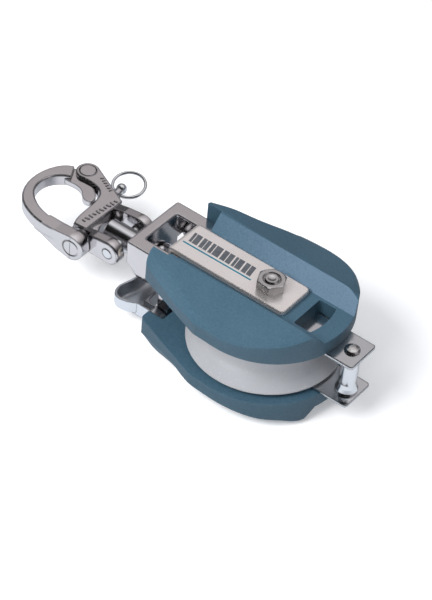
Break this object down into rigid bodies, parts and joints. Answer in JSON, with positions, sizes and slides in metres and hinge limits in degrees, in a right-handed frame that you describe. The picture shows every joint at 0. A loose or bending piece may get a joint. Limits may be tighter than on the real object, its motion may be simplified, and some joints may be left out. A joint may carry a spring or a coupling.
{
  "type": "single sheave block with swivel snap shackle and becket",
  "caption": "Boat block: grooved sheave between plastic cheeks with steel straps, a swivel head with snap shackle, a head latch lever and a pinned becket at the tail.",
  "frame": {"origin": "centre of the sheave, on the axle", "axes": "+Z along the axle towards the nut, -X towards the snap shackle, +X towards the becket, +Y across the cheeks towards the pull ring"},
  "size_m": [0.2028, 0.0838, 0.058],
  "materials": {
    "steel_polished": "polished stainless steel",
    "nylon_blue_grey": "satin glass-filled nylon",
    "acetal_white": "smooth moulded acetal",
    "acetal_natural": "natural acetal"
  },
  "bodies": {
    "body": {"upper_cheek": "nylon_blue_grey", "lower_cheek": "nylon_blue_grey", "upper_strap": "steel_polished", "lower_strap": "steel_polished", "axle_bolt": "steel_polished", "axle_nut": "steel_polished", "bearing_sleeve": "steel_polished", "upper_thrust_washer": "acetal_natural", "lower_thrust_washer": "acetal_natural", "upper_becket_plate": "steel_polished", "lower_becket_plate": "steel_polished", "becket_pin": "steel_polished", "becket_pin_clip": "steel_polished", "becket_pin_washer": "steel_polished", "head_frame": "steel_polished", "latch_pin": "steel_polished"},
    "sheave": {"sheave": "acetal_white"},
    "bearing": {"bearing_cage": "acetal_white", "bearing_rollers": "acetal_natural"},
    "swivel": {"swivel_post": "steel_polished", "swivel_washer": "acetal_natural"},
    "shackle": {"shackle_body": "steel_polished", "toggle_pin": "steel_polished", "gate_rivet": "steel_polished", "plunger_spring": "steel_polished"},
    "gate": {"gate": "steel_polished"},
    "plunger": {"plunger": "steel_polished"},
    "pull_ring": {"pull_ring": "steel_polished"},
    "latch": {"latch_lever": "steel_polished"},
    "spool": {"becket_spool": "steel_polished"}
  },
  "joints": [
    {"name": "sheave_spin", "type": "hinge", "parent": "body", "child": "sheave", "pos_m": [0, 0, 0], "axis": [0, 0, 1], "continuous": true},
    {"name": "bearing_spin", "type": "hinge", "parent": "body", "child": "bearing", "pos_m": [0, 0, 0], "axis": [0, 0, 1], "continuous": true},
    {"name": "head_swivel", "type": "hinge", "parent": "body", "child": "swivel", "pos_m": [-0.07, 0, 0], "axis": [1, 0, 0], "continuous": true},
    {"name": "shackle_toggle", "type": "hinge", "parent": "swivel", "child": "shackle", "pos_m": [-0.0864, 0, 0], "axis": [0, 1, 0], "range_deg": [-65, 65]},
    {"name": "gate_swing", "type": "hinge", "parent": "shackle", "child": "gate", "pos_m": [-0.1302, 0.023, 0.0005], "axis": [0, 0, -1], "range_deg": [0, 95]},
    {"name": "plunger_pull", "type": "slide", "parent": "shackle", "child": "plunger", "axis": [-0.1908, 0.9816, 0], "range_m": [0, 0.006], "deforming": ["plunger_spring"]},
    {"name": "ring_flop", "type": "hinge", "parent": "plunger", "child": "pull_ring", "pos_m": [-0.11257, 0.02498, -0.0025], "axis": [-0.9923, 0.1137, 0.0488], "range_deg": [-60, 60]},
    {"name": "latch_swing", "type": "hinge", "parent": "body", "child": "latch", "pos_m": [-0.05, 0, -0.0172], "axis": [0, -1, 0], "range_deg": [0, 60]},
    {"name": "spool_spin", "type": "hinge", "parent": "body", "child": "spool", "pos_m": [0.0483, 0, 0], "axis": [0, 0, 1], "continuous": true}
  ],
  "couplings": [
    {"joint": "bearing_spin", "follows": "sheave_spin", "ratio": 0.6}
  ]
}
